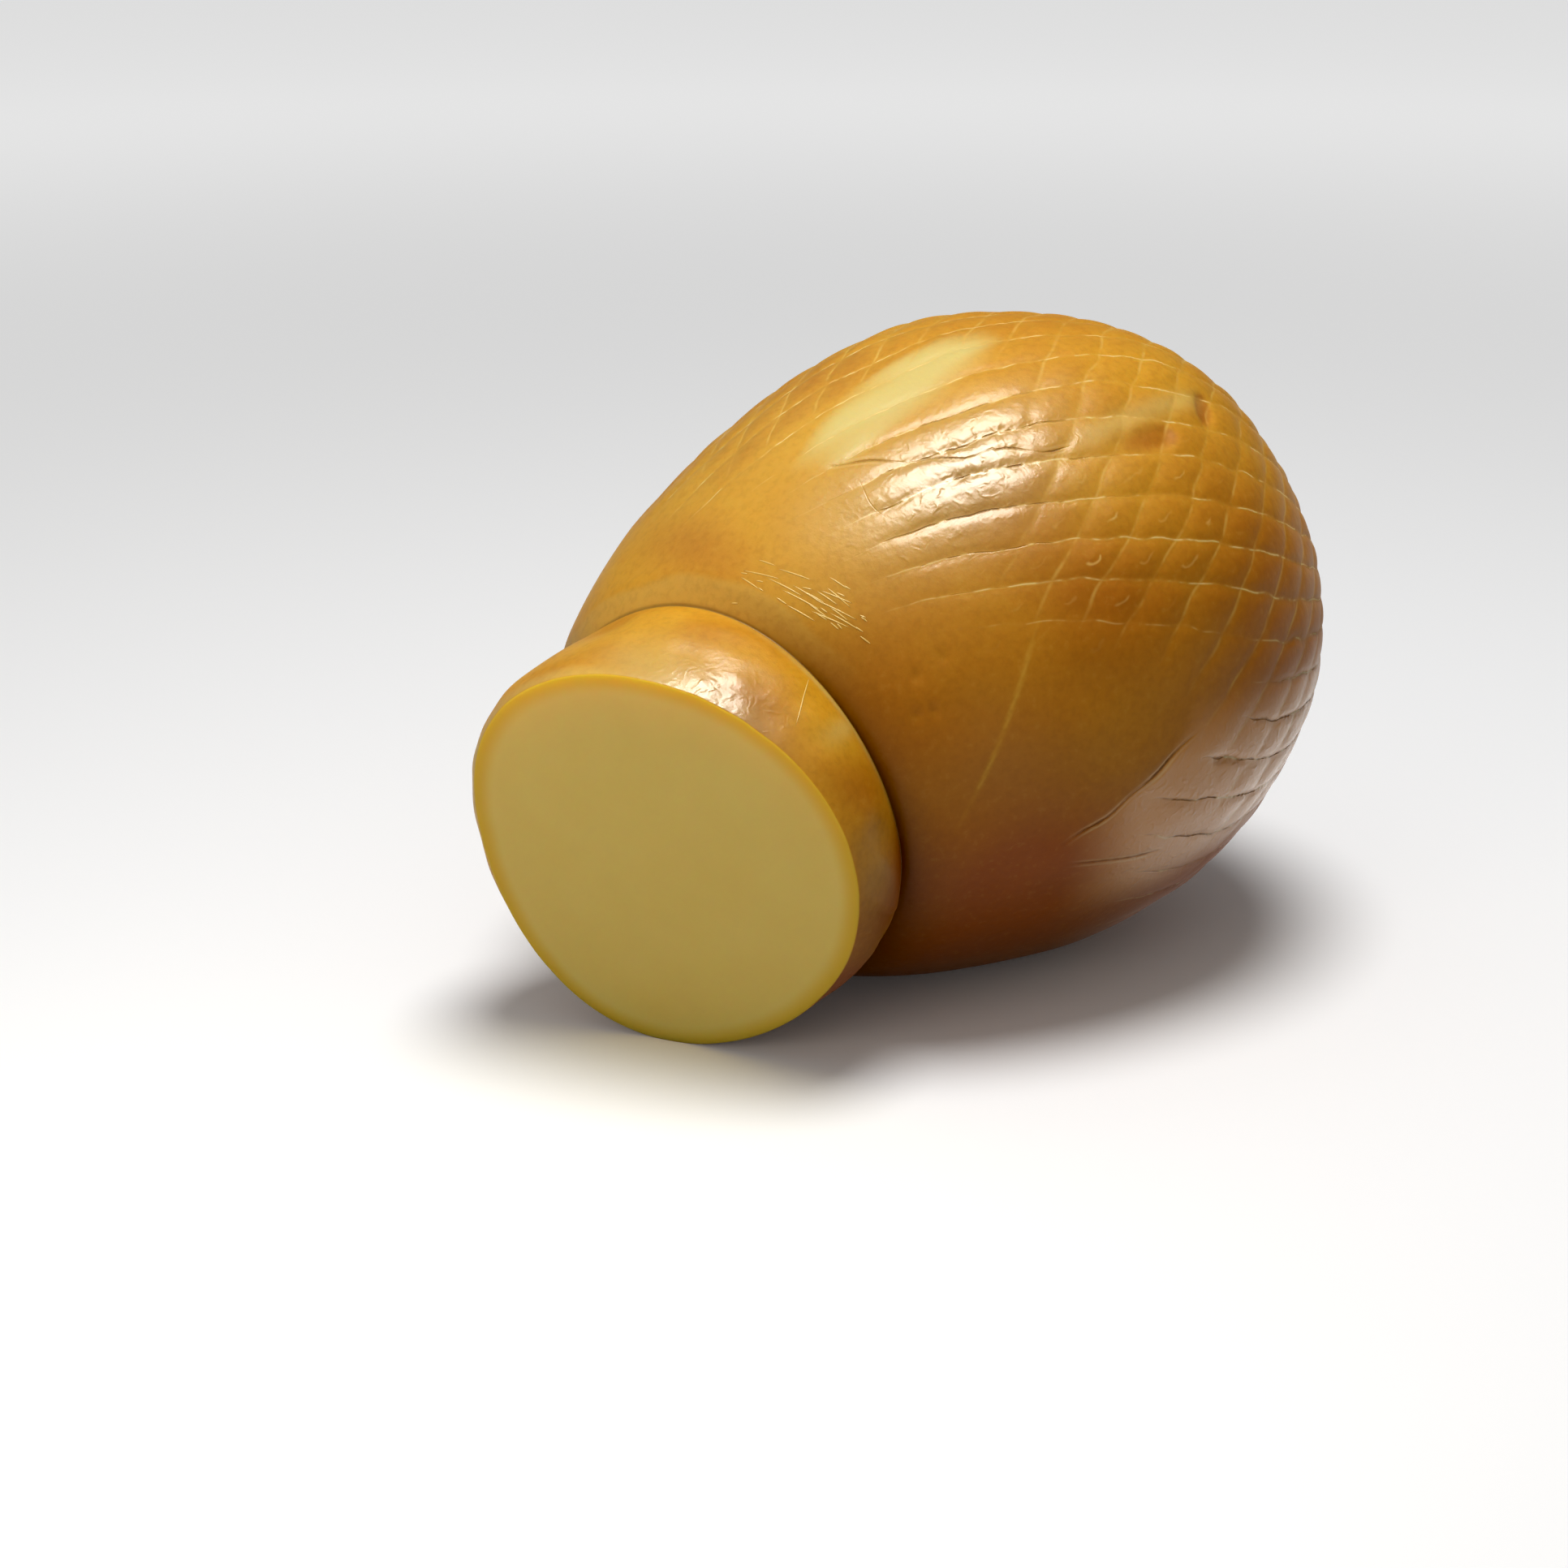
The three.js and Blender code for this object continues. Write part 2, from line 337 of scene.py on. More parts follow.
def patch(distance, angle, place, half_length, half_width):
    """A soft spot: a bell of these half sizes about a place on the body."""
    ahead, aside = on_skin(distance, angle, place)
    return np.exp(-((ahead / half_length) ** 2) - (aside / half_width) ** 2)


def dent(distance, angle, place, lean, behind, beyond, half_width):
    """A rounded hollow of depth 1, and a band along its steep edge behind the place, used as painted shade.

    It is an oval about the place, turned by a lean, and longer beyond the place than behind it.
    """
    ahead, aside = on_skin(distance, angle, place)
    run = ahead * math.cos(math.radians(lean)) + aside * math.sin(math.radians(lean))
    off = aside * math.cos(math.radians(lean)) - ahead * math.sin(math.radians(lean))
    size = (run / np.where(run > 0, beyond, behind)) ** 2 + (off / half_width) ** 2
    edge = np.exp(-(((size - 0.9) / 0.35) ** 2)) * smoothstep(-run / behind, 0.1, 0.7)
    return np.exp(-(size**2)), edge


def line(distance, angle, ends):
    """Millimetres across from a straight line over the skin, and a taper: 1 on the line, 0 past its ends."""
    start, end = ends
    ahead, aside = on_skin(distance, angle, start)
    middle_radius = ring_radius((start[0] + end[0]) / 2)
    run = np.array([end[0] - start[0], math.radians(end[1] - start[1]) * middle_radius])
    length = np.hypot(*run)
    share = (ahead * run[0] + aside * run[1]) / length**2
    across = (aside * run[0] - ahead * run[1]) / length
    taper = smoothstep(share, 0, 0.25) * (1 - smoothstep(share, 0.75, 1))
    return across, taper


def lipped(across, depth, width):
    """Profile of a crease with a raised lip on one side, by millimetres across it."""
    lip = 0.45 * np.exp(-(((across - 1.5 * width) / (1.2 * width)) ** 2))
    return depth * (lip - np.exp(-((across / width) ** 2)))


def about_axis(radius, along, angle):
    """Points at a radius from an axis, at an angle from its top towards the viewer."""
    spin = np.radians(angle)
    return np.stack(np.broadcast_arrays(radius * np.sin(spin), along, radius * np.cos(spin)), axis=-1)


def egg_points(distance, angle):
    """The plain egg in the body's frame: the outline turned about the axis."""
    return about_axis(ring_radius(distance), np.interp(distance, outline_distance, outline_along), angle)


def collar_share(angle):
    """1 over the neck's top, where a smooth collar slopes to the crease, and 0 at its sides and below."""
    return smoothstep(angle, -75, -45) * (1 - smoothstep(angle, 28, 62))


def head_size(points):
    """Size of the bulb through points of the body's frame, where the head's own size is 1."""
    seen = (points @ body_frame.T - head_middle) @ head_frame
    across = np.hypot(seen[..., 0], seen[..., 2]) / HEAD_RADIUS
    along = np.abs(seen[..., 1]) / HEAD_HALF_LENGTH
    return (across**HEAD_POWER + along**HEAD_POWER) ** (1 / HEAD_POWER)


def body_points(distance, angle, height):
    """The egg raised by a height along its outward direction, and rolled in where it meets the head."""
    egg = egg_points(distance, angle)
    gap = np.maximum(0, head_size(egg) - 1) * HEAD_RADIUS
    bowl = np.exp(-gap / CREASE_WIDTH)
    slope = COLLAR_SOFTNESS * np.log1p(np.exp((COLLAR_REACH - gap) / COLLAR_SOFTNESS)) / COLLAR_REACH
    rolled = (CREASE_DEPTH - GAP_DEPTH) * blend(bowl, slope, collar_share(angle))
    rolled = rolled + GAP_DEPTH * np.exp(-gap / GAP_WIDTH)
    radius = ring_radius(distance) + height * np.interp(distance, outline_distance, outline_outward) - rolled
    along = egg[..., 1] + height * np.interp(distance, outline_distance, outline_forward)
    return about_axis(np.maximum(radius, 0), along, angle)


def first_crossing(values, places):
    """For each column, the place at which the values first fall below zero, between two rows."""
    after = np.maximum(1, np.argmax(values < 0, axis=0))
    columns = np.arange(values.shape[1])
    high = values[after - 1, columns]
    low = values[after, columns]
    share = high / (high - low)
    return places[after - 1] + share * (places[after] - places[after - 1])


def column_angles():
    """Angles of the columns from -180 to 180, crowded on the side that shows most detail."""
    fine = np.linspace(-180, 180, 3601)
    off = (fine - FINE_SIDE + 180) % 360 - 180
    density = 1 + FINE_SHARE * (1 - smoothstep(np.abs(off), FINE_SPREAD - 25, FINE_SPREAD + 25))
    count = np.concatenate([[0], np.cumsum((density[1:] + density[:-1]) / 2)])
    return np.interp(np.linspace(0, count[-1], COLUMNS + 1), count, fine)


column_places = column_angles()
crease_search = np.linspace(120, SKIN_LENGTH - 1, 1600)
crease_sizes = head_size(body_points(crease_search[:, None], column_places[None], 0.0))
crease_places = first_crossing(crease_sizes - 1, crease_search)


def to_crease(distance, angle):
    """Distance over the skin that is left to the crease."""
    return np.interp(angle, column_places, crease_places) - distance


def down_side(distance, angle):
    """Degrees round from the top line, evened out at the fat end so that no mark runs to a point there."""
    return blend(END_SIDE, np.abs(angle), smoothstep(distance, *END_CHANGE))


def scratch_mark(distance, angle, egg):
    """How plain the long scratch is: a thin line that comes and goes a little, plainest at its middle."""
    across, taper = line(distance, angle, LONG_SCRATCH)
    broken = 0.55 + 0.45 * smoothstep(waves(egg, 9, seed=17), -1.2, 0.5)
    plainer = 0.35 + 0.65 * smoothstep(distance, 124, 129)
    return plainer * broken * taper * np.exp(-((across / SCRATCH_WIDTH) ** 2))


def pale_mark(distance, angle, egg):
    """Where the smoke did not reach: a patch on top, a streak beside the dents and broad faint spots.

    The patch is a leaning superellipse with a streaky edge, from 1 at its middle to 0 at its edge.
    """
    ahead, aside = on_skin(distance, angle, PALE_PATCH)
    streaks = waves(np.stack([0.3 * ahead, aside, 0 * aside], axis=-1), 6, seed=11)
    leaning = aside - 0.08 * ahead
    stretch = np.abs(ahead / PALE_PATCH_LENGTH) ** 2.4 + np.abs(leaning / PALE_PATCH_WIDTH) ** 2.2
    pale = 1 - smoothstep(stretch + 0.16 * streaks, 0.0, 1.3)
    pale = np.maximum(pale, 0.16 * scratch_mark(distance, angle, egg))
    across, taper = line(distance, angle, PALE_STREAK)
    pale = np.maximum(pale, 0.42 * taper * np.exp(-((across / STREAK_WIDTH) ** 2)))
    for strength, spot in PALE_SPOTS:
        pale = np.maximum(pale, strength * patch(distance, angle, *spot))
    return pale


def smoke_and_shade_mark(distance, angle, egg):
    """Browner smoke and painted shade: smoke clouds, a smudge above the collar and a band along the top, with
    painted shade deepening down the sides, most low down, and on the near side of the neck.

    The scratch took some of it off again.
    """
    smoke_brown_and_shade = 0.08 + 0.06 * waves(egg, 30, seed=13)
    for strength, spot in TOP_BROWN_SPOTS:
        smoke_brown_and_shade = np.maximum(smoke_brown_and_shade, strength * patch(distance, angle, *spot))
    side = down_side(distance, angle)
    # Painted shade: the rind darkens down the sides, and more so low down
    smoke_brown_and_shade = smoke_brown_and_shade + 0.32 * smoothstep(side, 35, 72) + 0.5 * smoothstep(side, 80, 114)
    for strength, spot in SIDE_BROWN_AND_SHADE_SPOTS:
        smoke_brown_and_shade = smoke_brown_and_shade + strength * patch(distance, np.abs(angle), *spot)
    return smoke_brown_and_shade * (1 - 0.7 * scratch_mark(distance, angle, egg))


def fold_lines(distance, angle, egg):
    """The nearest single fold: millimetres across it, and how plain it is there."""
    nearest = np.full(np.shape(distance), 50.0)
    plain = np.zeros(np.shape(distance))
    broken = np.clip(0.75 + 0.4 * waves(egg, 9, seed=18), 0, 1)
    for ends, weight, bend in FOLDS:
        across, taper = line(distance, angle, ends)
        across = across + bend * waves(egg, 11, seed=8)
        strength = weight * broken * taper * np.exp(-((across / 1.6) ** 2))
        nearer = strength > plain
        nearest = np.where(nearer, across, nearest)
        plain = np.where(nearer, strength, plain)
    return nearest, plain


def body_marks(distance, angle):
    """Relief of the body in millimetres, and marks: pale, brown with painted shade, film-wrapped, satin with
    a painted sheen, painted seam shade, folds and the strands.

    The relief is the sum of soft pillows between the strands, a fine groove on each strand, slow unevenness,
    and single folds, dents, pits and blisters. It is at most a little above the plain egg.
    """
    egg = egg_points(distance, angle)
    level, steep = strand_counts(distance, angle, egg)
    level_mark = level_imprint(distance, angle)
    steep_mark = steep_imprint(distance, angle)
    film = patch(distance, angle, *FILM_PATCH)
    flank = patch(distance, angle, *CREASED_FLANK)
    shoulder = far_shoulder(angle)
    fading = 1 + 0.4 * waves(egg, 12, seed=5)
    level_rise = np.sqrt(np.abs(np.sin(math.pi * level)))
    steep_rise = np.sqrt(np.abs(np.sin(math.pi * steep)))
    pillow = (1 - level_mark * (1 - level_rise)) * (1 - steep_mark * (1 - steep_rise))
    by_neck = PILLOW_HEIGHT_BY_NECK + PILLOW_MORE_FAR * shoulder
    bare = blend(PILLOW_HEIGHT, by_neck, smoothstep(distance, *PILLOW_CHANGE))
    height = blend(bare, PILLOW_HEIGHT_IN_FILM, film) * (pillow - 1)
    on_level = np.exp(-(((level - np.round(level)) * MESH_WIDTH / GROOVE_WIDTH) ** 2))
    groove = GROOVE_DEPTH + GROOVE_MORE_IN_FILM * film + GROOVE_MORE_ON_FLANK * flank
    height -= level_mark * fading * groove * on_level
    wrinkles = 1 - np.abs(waves(egg, 3.6, seed=7, count=28))
    height += WRINKLE_HEIGHT * (film + 0.5 * flank) * wrinkles

    # A small blister in each mesh on the side near the viewer
    down = (level % 1 - BLISTER_DOWN) * MESH_WIDTH / BLISTER_LENGTH
    over = (steep % 1 - BLISTER_OVER) * MESH_WIDTH / BLISTER_WIDTH
    varied = 0.25 + 0.75 * np.sin(2.4 * np.floor(level) + 1.7 * np.floor(steep)) ** 2
    blistered = varied * np.clip(1.6 * patch(distance, angle, *BLISTER_PATCH), 0, 1)
    height += BLISTER_HEIGHT * blistered * np.exp(-(down**2 + over**2))

    # Slow unevenness of a hand-shaped cheese
    height += BROAD_SWELL * waves(egg, 46, seed=1) + SMALL_SWELL * waves(egg, 15, seed=2)

    across, plain = fold_lines(distance, angle, egg)
    height += plain * lipped(across, FOLD_DEPTH, FOLD_WIDTH)
    big_dent, big_edge_shade = dent(distance, angle, *BIG_DENT)
    small_dent, small_edge_shade = dent(distance, angle, *SMALL_DENT)
    height -= BIG_DENT_DEPTH * big_dent + SMALL_DENT_DEPTH * small_dent
    for place in PITS:
        height -= PIT_DEPTH * patch(distance, angle, place, *PIT_SIZE)

    # Below the long crease and on towards the fat end the film lies smooth and satin, and there the rind is
    # painted lighter as a sheen
    below = angle - 92 - 0.2 * np.maximum(0, 98 - distance) - 0.4 * np.maximum(0, distance - 98)
    soft_edge = blend(7, 0.8, smoothstep(distance, 97, 107))
    satin = smoothstep(below / soft_edge, -1, 1) * (1 - smoothstep(angle, 117, 130))
    satin = satin * smoothstep(distance, 38, 62) * (1 - smoothstep(distance, 110, 128))

    # Painted shade: a dark line right in the crease, a broad painted shade spreading out from it at the sides
    # of the neck, and painted shade on the underside
    left = to_crease(distance, angle)
    sides = smoothstep(np.abs(angle), 16, 58)
    painted_seam_shade = np.maximum(0.7 * np.exp(-((left / 0.35) ** 2)), 0.8 * sides * np.exp(-left / 5.5))
    painted_seam_shade = np.maximum(painted_seam_shade, 0.25 * smoothstep(down_side(distance, angle), 118, 140))
    collar_edge = left + 0.25 * waves(egg, 12, seed=9)
    plainer = shoulder * smoothstep(distance, 96, 112)
    meshes = (0.1 + 0.16 * plainer) * pillow * level_mark * steep_mark
    browned_and_shaded = smoke_and_shade_mark(distance, angle, egg) + meshes
    # Painted shade along the dents' steep edges; the dents themselves are browner
    painted_dent_edge_shade = 0.3 * (big_edge_shade + small_edge_shade)
    browned_and_shaded = np.maximum(browned_and_shaded, np.maximum(0.6 * big_dent, 0.7 * small_dent) + painted_dent_edge_shade)
    marks = {
        "pale": pale_mark(distance, angle, egg),
        "smoke_brown_and_shade": np.clip(browned_and_shaded, 0, 1),
        "film": film,
        "satin": satin,
        "collar": collar_share(angle) * (1 - smoothstep(collar_edge, 3.8, 5.2)),
        "painted_seam_shade": painted_seam_shade,
        "blistered": blistered,
        "fold_across": across,
        "fold_plain": plain,
        "level_strands": level_mark * (1 + 0.5 * plainer),
        "steep_strands": steep_mark * (1 + 0.5 * plainer),
    }
    height = np.minimum(height, HIGHEST) * smoothstep(left, 0.5, 9) * smoothstep(distance, 0, 9)
    return height, marks


def head_points(share, spin, height):
    """The bulb in the part's frame: a superellipse turned about the head's axis, raised along its normal."""
    radius = HEAD_RADIUS * superellipse(share, HEAD_POWER)
    along = HEAD_HALF_LENGTH * share
    lean_out = (radius / HEAD_RADIUS) ** (HEAD_POWER - 1) / HEAD_RADIUS
    lean_along = np.sign(share) * np.abs(share) ** (HEAD_POWER - 1) / HEAD_HALF_LENGTH
    lean = np.hypot(lean_out, lean_along)
    radius = radius + height * lean_out / lean
    along = along + height * lean_along / lean
    return about_axis(radius, along, spin) @ head_frame.T + head_middle


def head_marks(along, spin, points):
    """Relief of the head in millimetres, and where it is pale, brown with painted shade low on its sides, or
    film-wrapped.
    """
    film = np.exp(-(((along - 1) / 9) ** 2) - ((spin - 34) / 24) ** 2)
    height = 0.2 * waves(points, 19, seed=21) + 0.08 * waves(points, 7.5, seed=22)
    height += 0.12 * film * waves(points, 5.2, seed=24)
    smear = np.exp(-(((along - 19) / 5) ** 2) - ((spin - 56) / 3.2) ** 2)
    height += 0.12 * smear
    fold = (spin - 108) - (along - 14) * 1.9
    folded = np.exp(-(((along - 15) / 6) ** 2))
    height += folded * (0.25 * np.exp(-((fold / 2.2) ** 2)) - 0.3 * np.exp(-(((fold - 4.2) / 1.8) ** 2)))
    pale = np.maximum(0.45 * smear, 0.4 * np.exp(-(((along + 3) / 7) ** 2) - ((spin - 10) / 14) ** 2))
    # Painted shade: the head darkens low on its sides
    smoke_brown_and_shade = 0.18 + 0.16 * waves(points, 17, seed=23) + 0.6 * smoothstep(np.abs(spin), 70, 118)
    return height, {"pale": pale, "smoke_brown_and_shade": np.clip(smoke_brown_and_shade, 0, 1), "film": film}


def head_rows(steps, spin, start):
    """Rows of the head from the crease towards its front end: points in the part's frame, and marks."""
    share = -np.cos(start * (1 - steps))
    wide = spin + 0 * share
    plain = head_points(share, wide, 0.0)
    height, marks = head_marks(HEAD_HALF_LENGTH * share, wide, plain)
    before_cut = (plain - head_middle) @ cut_frame[:, 1] + CUT_OFFSET
    height = height * smoothstep(steps, 0, 0.12) * (0.25 + 0.75 * smoothstep(before_cut, 0, 5))
    thin_skin = (1 - smoothstep(before_cut, 0.5, 5)) * (1 - smoothstep(np.abs(wide + 20), 30, 80))
    marks["pale"] = np.maximum(marks["pale"], 0.45 * thin_skin)
    return head_points(share, wide, height), marks


def cheese_rings():
    """All rings of the skin in the part's frame, with their marks, from the fat end to the cut's middle."""
    end_rows = np.linspace(FIRST_RING, FINE_FROM, END_ROWS, endpoint=False)
    body_rows = np.linspace(FINE_FROM, NECK_FROM, BODY_ROWS, endpoint=False)
    neck_share = 1 - (1 - np.linspace(0, 1, NECK_ROWS)) ** 1.4
    shared = np.concatenate([end_rows, body_rows])[:, None] + 0 * column_places[None]
    neck = blend(NECK_FROM, crease_places[None], neck_share[:, None])
    distance = np.concatenate([shared, neck])
    angle = column_places[None] + 0 * distance
    height, marks = body_marks(distance, angle)
    body = body_points(distance, angle, height) @ body_frame.T

    # The head's rows run from the crease to the cut, which is found on each of its lines
    seen = (body[-1] - head_middle) @ head_frame
    spin = np.degrees(np.arctan2(seen[..., 0], seen[..., 2]))[None]
    start = np.arccos(np.clip(-seen[..., 1] / HEAD_HALF_LENGTH, -1, 1))[None]
    probe = np.linspace(0, 1, 400)
    trial, _ = head_rows(probe[:, None], spin, start)
    edge_step = first_crossing((trial - head_middle) @ cut_frame[:, 1] + CUT_OFFSET, probe)
    steps = np.linspace(0, 1, HEAD_ROWS + 1)[1:, None] ** 1.15 * edge_step[None]
    head, over_head = head_rows(steps, spin, start)
    from_rear = np.linalg.norm(head - body[-1], axis=-1)
    # Painted highlight: a pale line along the head's rear edge, beside the crease
    painted_rear_rim_highlight = np.exp(-(((from_rear - 1.2) / 0.9) ** 2)) * np.exp(-(((spin - 48) / 30) ** 2))
    over_head["pale"] = np.maximum(over_head["pale"], 0.65 * painted_rear_rim_highlight)
    # Painted shade: a dark line along the head's rear edge, in the crease
    over_head["painted_seam_shade"] = 0.7 * np.exp(-((from_rear / 0.35) ** 2))

    # The edge is rounded on a curve from the skin to the face, and the face runs to its middle
    edge = head[-1]
    middle = edge[:-1].mean(axis=0)
    inward = unit(middle - edge)
    back = unit(head[-2] - edge)
    rounding = np.linspace(0, 1, EDGE_ROWS)[:, None, None]
    rim = (1 - rounding) ** 2 * (edge + CUT_EDGE_RADIUS * back) + 2 * rounding * (1 - rounding) * edge
    rim = rim + rounding**2 * (edge + CUT_EDGE_RADIUS * inward)
    face = blend(rim[-1], middle, np.array(FACE_SHARES)[:, None, None])

    points = np.concatenate([body, head[:-1], rim, face]) + NECK
    points[..., 2] = np.maximum(points[..., 2], 0)
    beyond = np.zeros((len(points) - len(body), COLUMNS + 1))
    for name, values in marks.items():
        ahead = over_head.get(name, beyond[:0])
        marks[name] = np.concatenate([values, ahead, beyond[len(ahead):]])
    from_rim = np.linalg.norm(face - rim[-1], axis=-1)
    marks["from_rim"] = np.concatenate([0 * marks["pale"][:-len(face)], from_rim])
    far = np.concatenate([distance, SKIN_LENGTH + beyond])
    pole = egg_points(np.zeros(1), np.zeros(1))[0] @ body_frame.T + NECK
    return pole, points, middle + NECK, far, marks, len(body) + len(head)


def skin_mesh(name):
    """Quads between neighbouring rings, and fans at the fat end's pole and at the cut's middle."""
    pole, points, middle, far, marks, first_face_row = cheese_rings()
    ring = np.arange(COLUMNS)
    following = (ring + 1) % COLUMNS
    first = 1 + np.arange(len(points))[:, None] * COLUMNS
    places = np.concatenate([pole[None], points[:, :-1].reshape(-1, 3), middle[None]])
    here, there = first[:-1], first[1:]
    quads = np.stack([here + ring, there + ring, there + following, here + following], axis=-1).reshape(-1, 4)
    end_fan = np.stack([0 * ring, 1 + ring, 1 + following], axis=-1)
    face_fan = np.stack([first[-1] + ring, len(places) - 1 + 0 * ring, first[-1] + following], axis=-1)
    mesh = bpy.data.meshes.new(name)
    mesh.from_pydata((places * METRES).tolist(), [], quads.tolist() + end_fan.tolist() + face_fan.tolist())
    mesh.polygons.foreach_set("use_smooth", np.ones(len(mesh.polygons), bool))

    # Counts of strands run on across the seam, because each corner of a face has its own
    wide = column_places[None] + 0 * far
    counts = np.stack(strand_counts(far, wide, egg_points(far, wide)), axis=-1)
    left, right = counts[:, :-1], counts[:, 1:]
    quad_counts = np.stack([left[:-1], left[1:], right[1:], right[:-1]], axis=2)
    end_counts = np.stack([(left[0] + right[0]) / 2, left[0], right[0]], axis=1)
    face_counts = np.stack([left[-1], left[-1], right[-1]], axis=1)
    corners = [part.reshape(-1, 2) for part in (quad_counts, end_counts, face_counts)]
    mesh.uv_layers.new(name="strands").data.foreach_set("uv", np.concatenate(corners).ravel())

    for mark, values in marks.items():
        flat = np.concatenate([values[0, :1], values[:, :-1].ravel(), [values[-1].max()]])
        mesh.attributes.new(mark, "FLOAT", "POINT").data.foreach_set("value", flat)

    on_face = np.zeros(len(mesh.polygons), np.int32)
    on_face[first_face_row * COLUMNS:len(quads)] = 1
    on_face[len(quads) + COLUMNS:] = 1
    mesh.polygons.foreach_set("material_index", on_face)
    return mesh


def body_skin(distance, angle):
    """Points of the finished body skin in the part's frame."""
    height, _ = body_marks(distance, angle)
    return body_points(distance, angle, height) @ body_frame.T + NECK


def head_skin(along, spin):
    """Points of the finished head skin in the part's frame."""
    share = along / HEAD_HALF_LENGTH
    height, _ = head_marks(along, spin, head_points(share, spin, 0.0))
    return head_points(share, spin, height) + NECK


def outward_of(skin, first, second):
    """Outward direction of a skin, from two small steps over it."""
    here = skin(first, second)
    return unit(np.cross(skin(first + 0.3, second) - here, skin(first, second + 0.3) - here))


def scuff_lines():
    """Short lines over the skin with their outward directions: a fan beside the collar, one on the head."""
    draw = np.random.default_rng(31)
    share = np.sqrt(draw.uniform(0, 1, SCUFFS))
    middle = blend(np.array(SCUFF_FROM), np.array(SCUFF_TO), share[:, None])
    middle = middle + draw.normal(size=(SCUFFS, 2)) * (2.2, 3.0)
    length = 1.2 + 7.5 * draw.uniform(0, 1, SCUFFS) ** 2
    lean = 0.36 + draw.normal(size=SCUFFS) * 0.12
    steps = np.linspace(0, 1, 11)
    along = (steps[None] - 0.5) * length[:, None]
    distance = middle[:, :1] - along * np.sin(lean)[:, None]
    angle = middle[:, 1:] + np.degrees(along * np.cos(lean)[:, None] / ring_radius(distance))
    ahead = blend(20.3, 10.6, steps)[None]
    spin = blend(38.0, 49.3, steps)[None]
    points = np.concatenate([body_skin(distance, angle), head_skin(ahead, spin)])
    outward = np.concatenate([outward_of(body_skin, distance, angle), outward_of(head_skin, ahead, spin)])
    return points, outward


def scuff_mesh(name):
    """Thin raised slivers: spindles along short lines, with six sides that taper to a point at both ends.

    A point of a sliver is the line's point, plus half the width across the line times the cosine of an angle
    round it, plus the lift outwards times that angle's sine. Both are shrunk by the root of the sine of the
    share along the line.
    """
    points, outward = scuff_lines()
    slivers, stations = points.shape[:2]
    tangent = unit(np.gradient(points, axis=1))
    across = np.cross(outward, tangent)
    taper = np.sqrt(np.sin(math.pi * np.linspace(0, 1, stations)))[None, 1:-1, None, None]
    turns = np.linspace(0, 2 * math.pi, 7)[:-1][None, None, :, None]
    sideways = across[:, 1:-1, None] * SCUFF_WIDTH / 2 * np.cos(turns)
    upward = outward[:, 1:-1, None] * SCUFF_LIFT * np.sin(turns)
    rings = points[:, 1:-1, None] + taper * (sideways + upward)
    count = 6 * (stations - 2)
    tips = points[:, [0, -1]]
    places = np.concatenate([tips[:, :1], rings.reshape(slivers, count, 3), tips[:, 1:]], axis=1)
    side = np.arange(6)
    next_side = (side + 1) % 6
    rows = 1 + 6 * np.arange(stations - 3)[:, None]
    onward = rows + 6
    corners = [rows + side, onward + side, onward + next_side, rows + next_side]
    quads = np.stack(corners, axis=-1).reshape(-1, 4)
    first_tip = np.stack([0 * side, 1 + side, 1 + next_side], axis=-1)
    last_ring = 1 + count - 6
    last_tip = np.stack([last_ring + next_side, last_ring + side, count + 1 + 0 * side], axis=-1)
    starts = (np.arange(slivers) * (count + 2))[:, None, None]
    faces = (quads + starts).reshape(-1, 4).tolist()
    faces += (first_tip + starts).reshape(-1, 3).tolist() + (last_tip + starts).reshape(-1, 3).tolist()
    mesh = bpy.data.meshes.new(name)
    mesh.from_pydata((places.reshape(-1, 3) * METRES).tolist(), [], faces)
    mesh.polygons.foreach_set("use_smooth", np.ones(len(mesh.polygons), bool))
    return mesh


def linear(code):
    """An sRGB hex colour as linear red, green, blue and full opacity."""
    shares = np.array([int(code[place:place + 2], 16) / 255 for place in (1, 3, 5)])
    bright = ((shares + 0.055) / 1.055) ** 2.4
    return np.where(shares <= 0.04045, shares / 12.92, bright).tolist() + [1.0]


# Settings of nodes that the materials use again and again
BLEND = {"data_type": "RGBA", "clamp_factor": True}
TIMES = {"operation": "MULTIPLY"}
TIMES_PLUS = {"operation": "MULTIPLY_ADD"}
LARGER = {"operation": "MAXIMUM"}
SMOOTH = {"interpolation_type": "SMOOTHSTEP"}
LESS = {"operation": "SUBTRACT"}
SIZE_OF = {"operation": "ABSOLUTE"}
RIDGES = {"noise_type": "RIDGED_MULTIFRACTAL"}

# Ends of a range that falls from 1 to 0
FALL = {"To_Min": 1.0, "To_Max": 0.0}


def add(tree, kind, settings=None, output=0, **inputs):
    """Adds a node and gives one of its outputs. Inputs are values or other nodes' outputs, for its sockets.

    A socket is named in plain words with _ for a space, or as in_0, in_1 and so on by its place.
    """
    made = tree.nodes.new("ShaderNode" + kind)
    for name, value in (settings or {}).items():
        setattr(made, name, value)
    for name, value in inputs.items():
        by_place = name.startswith("in_")
        socket = made.inputs[int(name[3:])] if by_place else made.inputs[name.replace("_", " ")]
        if isinstance(value, bpy.types.NodeSocket):
            tree.links.new(value, socket)
        else:
            socket.default_value = value
    return made.outputs[output] if made.outputs else None


def new_material(name):
    """An empty node material and its tree."""
    material = bpy.data.materials.new(name)
    material.use_nodes = True
    material.node_tree.nodes.clear()
    return material, material.node_tree


# Patterns of the rind in millimetres: clouds of smoke, mottle, breaks in the net's lines, wrinkles of film
CLOUD_SIZE = 22
MOTTLE_SIZE = 1.5
BREAK_SIZE = 5
WRINKLE_SIZE = 1.9
WRINKLE_RELIEF = 0.28

